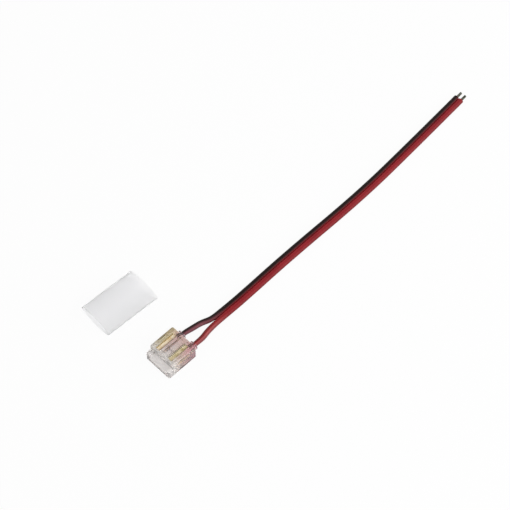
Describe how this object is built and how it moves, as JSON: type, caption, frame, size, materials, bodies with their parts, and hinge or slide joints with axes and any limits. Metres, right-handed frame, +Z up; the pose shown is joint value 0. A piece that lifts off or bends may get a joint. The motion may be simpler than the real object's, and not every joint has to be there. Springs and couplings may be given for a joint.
{
  "type": "led strip connector",
  "caption": "Clear clip-on connector for a two-conductor light strip, with toothed contacts, a red and black twin lead ending in bare tips, and a loose oval sleeve.",
  "frame": {"origin": "centre of the housing's flat underside", "axes": "+X towards the wires' exit, -X towards the strip's mouth, +Y towards the black wire, +Z up through the cover"},
  "size_m": [0.1704, 0.0417, 0.0062],
  "materials": {
    "clear_base": "clear moulded polycarbonate, polished",
    "clear_cover": "clear moulded polycarbonate, polished",
    "contact_metal": "gilt brass sheet, stamped and folded",
    "black_vinyl": "smooth soft vinyl, black",
    "red_vinyl": "smooth soft vinyl, red",
    "tinned_copper": "twisted copper strands, tinned at the ends",
    "sleeve": "thin translucent tube with a soft sheen"
  },
  "bodies": {
    "housing": {"base_housing": "clear_base", "black_wire": "black_vinyl", "black_conductor": "tinned_copper", "red_wire": "red_vinyl", "red_conductor": "tinned_copper", "oval_sleeve": "sleeve"},
    "cover": {"cover": "clear_cover", "left_contact": "contact_metal", "right_contact": "contact_metal"}
  },
  "joints": [
    {"name": "cover_lift", "type": "slide", "parent": "housing", "child": "cover", "axis": [0, 0, 1], "range_m": [0, 0.006]}
  ]
}
